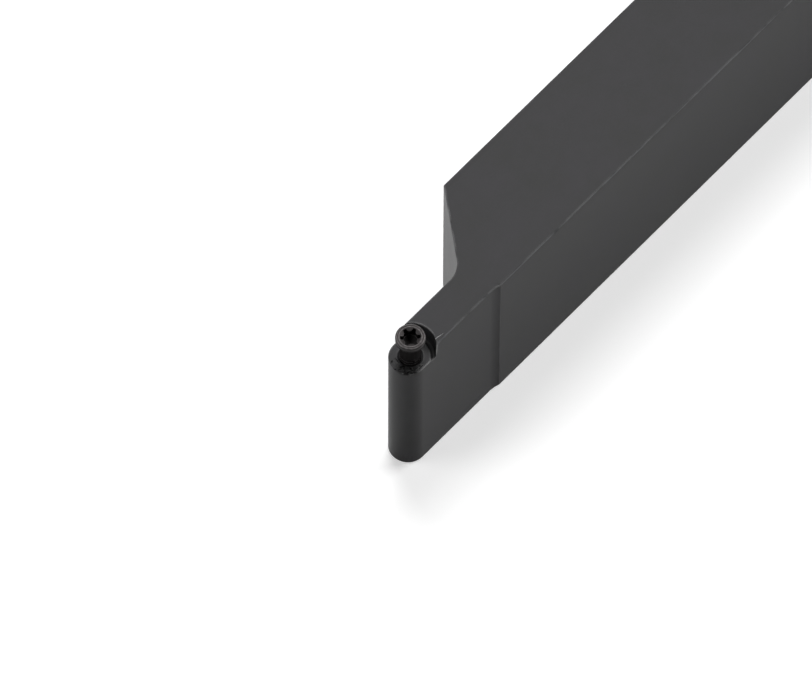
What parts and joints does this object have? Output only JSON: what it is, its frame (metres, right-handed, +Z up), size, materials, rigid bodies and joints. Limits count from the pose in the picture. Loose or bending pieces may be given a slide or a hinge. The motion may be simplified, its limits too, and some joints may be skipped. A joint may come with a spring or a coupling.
{
  "type": "turning tool holder",
  "caption": "Slim-neck external turning tool holder for a small round screw-on insert, with its countersunk insert screw standing in the open pocket.",
  "frame": {"origin": "middle of the flat underside, halfway between the rear end and the tip and on the shank's centre line", "axes": "+X along the shank towards the tip, +Y towards the tool's left side, +Z up from the underside to the top face"},
  "size_m": [0.125, 0.012, 0.0218],
  "materials": {
    "black_steel": "satin black oxide",
    "screw_steel": "dark oiled steel"
  },
  "bodies": {
    "holder": {"holder": "black_steel"},
    "insert_screw": {"insert_screw": "screw_steel"}
  },
  "joints": [
    {"name": "insert_screw_turn", "type": "hinge", "parent": "holder", "child": "insert_screw", "pos_m": [0.0603, 0.00385, 0.0218], "axis": [0, 0, 1], "range_deg": [-2430, 1930]}
  ]
}
